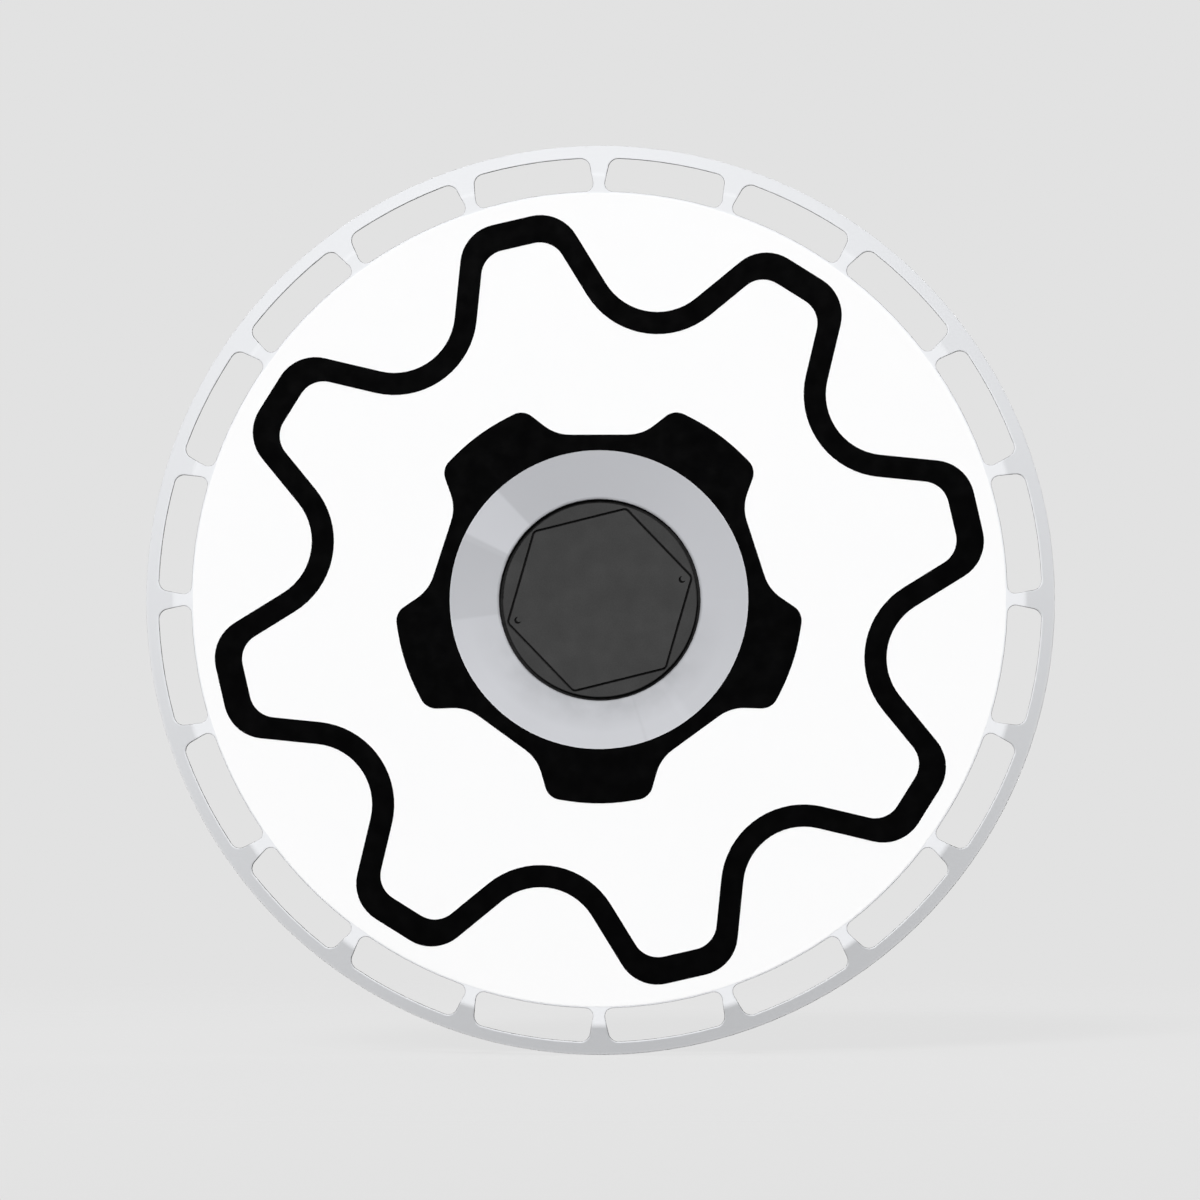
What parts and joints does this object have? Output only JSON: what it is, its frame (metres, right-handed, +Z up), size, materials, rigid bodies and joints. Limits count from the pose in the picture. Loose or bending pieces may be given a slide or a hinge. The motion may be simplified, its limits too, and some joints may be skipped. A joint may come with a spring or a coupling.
{
  "type": "aero wheel cover",
  "caption": "Round flat-faced wheel cover with air slots round its rim, a wrap film on the face, a dished centre with a snap-in cap, and barbed retention legs behind.",
  "frame": {"origin": "centre of the rim seat, the flat ring at the back of the cover's edge that meets the wheel", "axes": "+Y along the wheel's axis from the face towards the wheel, +X to the right as the face is seen, +Z up"},
  "size_m": [0.45, 0.0274, 0.45],
  "materials": {
    "disc_plastic": "pale cool grey-white satin paint on the front, bare dark grey moulding behind",
    "spring_steel": "drawn spring wire",
    "cap_plastic": "dark grey moulded plastic, fine matte grain",
    "plate_plastic": "dark grey moulded plastic, fine matte grain",
    "tape_foam": "black foam adhesive pad",
    "white_film": "white wrap film, satin gloss",
    "black_film": "black wrap film, satin gloss"
  },
  "bodies": {
    "root": {"cover_disc": "disc_plastic", "retention_wire": "spring_steel", "centre_cap": "cap_plastic", "hex_plate": "plate_plastic", "plate_tape": "tape_foam", "cap_wire": "spring_steel", "wrap_film": "white_film", "cog_figure": "black_film", "hub_figure": "black_film"}
  },
  "joints": []
}
